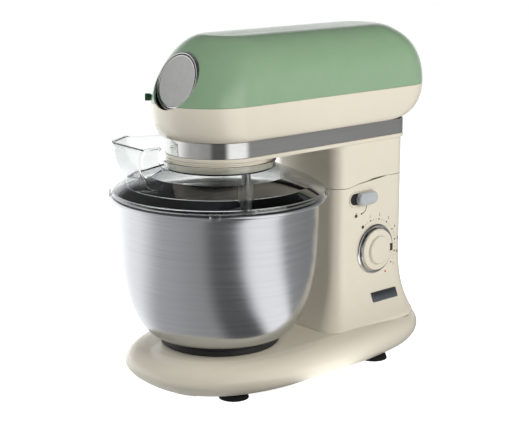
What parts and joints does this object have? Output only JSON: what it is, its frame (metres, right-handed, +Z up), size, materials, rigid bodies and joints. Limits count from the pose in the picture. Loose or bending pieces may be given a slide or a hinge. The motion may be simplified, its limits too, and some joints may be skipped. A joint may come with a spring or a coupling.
{
  "type": "stand mixer",
  "caption": "Tilt-head stand mixer: rounded two-tone head on a column, steel bowl on a locking seat, clear splash guard with pouring chute, speed knob and planetary drive.",
  "frame": {"origin": "on the surface the feet stand on, under the middle of the whole machine's box", "axes": "+Z up; the head runs along Y with its nose towards -Y and the column towards +Y; the speed knob and the tilt lever are on the +X side"},
  "size_m": [0.24, 0.408, 0.386],
  "materials": {
    "mint_cover": "gloss moulded, pale green",
    "cream_shell": "gloss moulded, warm cream",
    "brushed_trim": "long brushed, satin",
    "bowl_steel": "spun satin steel",
    "chrome_trim": "polished",
    "clear_plastic": "clear moulded plastic",
    "grey_plastic": "light grey moulded",
    "dark_plastic": "black moulded",
    "foot_rubber": "matt black",
    "button_green": "dark green moulded",
    "cast_aluminium": "die cast",
    "steel": "machined or pressed",
    "gear_nylon": "natural nylon",
    "bronze": "sintered bronze",
    "copper": "enamelled copper",
    "belt_rubber": "ribbed",
    "board_green": "laminate",
    "carbon": "pressed carbon",
    "badge_metal": "satin plate"
  },
  "bodies": {
    "base": {"base_shell": "cream_shell", "base_plate": "cream_shell", "suction_feet": "foot_rubber", "base_screws": "steel", "bowl_seat": "dark_plastic", "column_frame": "steel", "hinge_pin": "steel", "knob_trim_ring": "chrome_trim", "speed_potentiometer": "dark_plastic", "control_board": "board_green", "lever_escutcheon": "dark_plastic", "badge_plate": "badge_metal", "cord_gland": "dark_plastic", "safety_switch": "dark_plastic", "latch_spring": "steel"},
    "head": {"head_top_cover": "mint_cover", "head_side_cover": "cream_shell", "trim_band": "brushed_trim", "head_under_cover": "cream_shell", "head_chassis": "cast_aluminium", "latch_striker": "steel", "gearbox_housing": "cast_aluminium", "nose_collar": "cream_shell", "shaft_bearings": "steel", "ring_gear": "steel", "motor_stator": "steel", "field_coils": "copper", "motor_brackets": "cast_aluminium", "carbon_brushes": "carbon", "brush_holders": "dark_plastic", "drive_belt": "belt_rubber", "hub_socket": "dark_plastic", "hub_bezel": "chrome_trim", "button_spring": "steel", "chassis_screws": "steel", "hinge_bushes": "bronze"},
    "planet_carrier": {"planet_carrier": "cast_aluminium", "main_gear": "gear_nylon"},
    "beater": {"beater_shaft": "steel", "planet_pinion": "steel", "flat_beater": "cast_aluminium"},
    "input_shaft": {"input_shaft": "steel", "large_pulley": "dark_plastic"},
    "motor_rotor": {"motor_shaft": "steel", "small_pulley": "dark_plastic", "armature_core": "steel", "armature_windings": "copper", "commutator": "copper", "cooling_fan": "dark_plastic"},
    "bowl": {"bowl": "bowl_steel", "bowl_foot_ring": "dark_plastic"},
    "splash_guard": {"splash_guard": "clear_plastic", "feed_chute": "clear_plastic"},
    "tilt_lever": {"tilt_lever": "grey_plastic", "latch_shaft": "steel"},
    "speed_knob": {"speed_knob": "cream_shell", "knob_skirt": "chrome_trim", "knob_shaft": "steel"},
    "hub_cap": {"hub_cap": "brushed_trim"},
    "hub_release_button": {"hub_release_button": "button_green"}
  },
  "joints": [
    {"name": "head_tilt", "type": "hinge", "parent": "base", "child": "head", "pos_m": [0, 0.152, 0.205], "axis": [-1, 0, 0], "range_deg": [0, 35]},
    {"name": "planetary_spin", "type": "hinge", "parent": "head", "child": "planet_carrier", "pos_m": [0, -0.084, 0.25], "axis": [0, 0, 1], "continuous": true},
    {"name": "beater_spin", "type": "hinge", "parent": "planet_carrier", "child": "beater", "pos_m": [0.02052, -0.06225, 0.23], "axis": [0, 0, 1], "continuous": true},
    {"name": "input_spin", "type": "hinge", "parent": "head", "child": "input_shaft", "pos_m": [0, -0.04785, 0.3], "axis": [0, 0, 1], "continuous": true},
    {"name": "motor_spin", "type": "hinge", "parent": "head", "child": "motor_rotor", "pos_m": [0, 0.106, 0.3], "axis": [0, 0, 1], "continuous": true},
    {"name": "bowl_twist", "type": "hinge", "parent": "base", "child": "bowl", "pos_m": [0, -0.084, 0.045], "axis": [0, 0, 1], "range_deg": [0, 25]},
    {"name": "guard_twist", "type": "hinge", "parent": "head", "child": "splash_guard", "pos_m": [0, -0.084, 0.247], "axis": [0, 0, 1], "range_deg": [0, 12]},
    {"name": "lever_turn", "type": "hinge", "parent": "base", "child": "tilt_lever", "pos_m": [0.056, 0.099, 0.1884], "axis": [1, 0, 0], "range_deg": [0, 80], "stiffness_Nm_per_rad": 0.05},
    {"name": "knob_turn", "type": "hinge", "parent": "base", "child": "speed_knob", "pos_m": [0.056, 0.1095, 0.1235], "axis": [-1, 0, 0], "range_deg": [-124.5, 59.5]},
    {"name": "hub_cap_pull", "type": "slide", "parent": "head", "child": "hub_cap", "axis": [0, -0.9426, 0.3338], "range_m": [0, 0.014]},
    {"name": "hub_button_press", "type": "slide", "parent": "head", "child": "hub_release_button", "axis": [0.6691, 0.7431, 0], "range_m": [0, 0.0035], "stiffness_N_per_m": 300, "springref_m": -0.001, "deforming": ["button_spring"]}
  ],
  "couplings": [
    {"joint": "beater_spin", "follows": "planetary_spin", "ratio": -3.8571},
    {"joint": "input_spin", "follows": "planetary_spin", "ratio": -5},
    {"joint": "motor_spin", "follows": "planetary_spin", "ratio": -16.698}
  ]
}
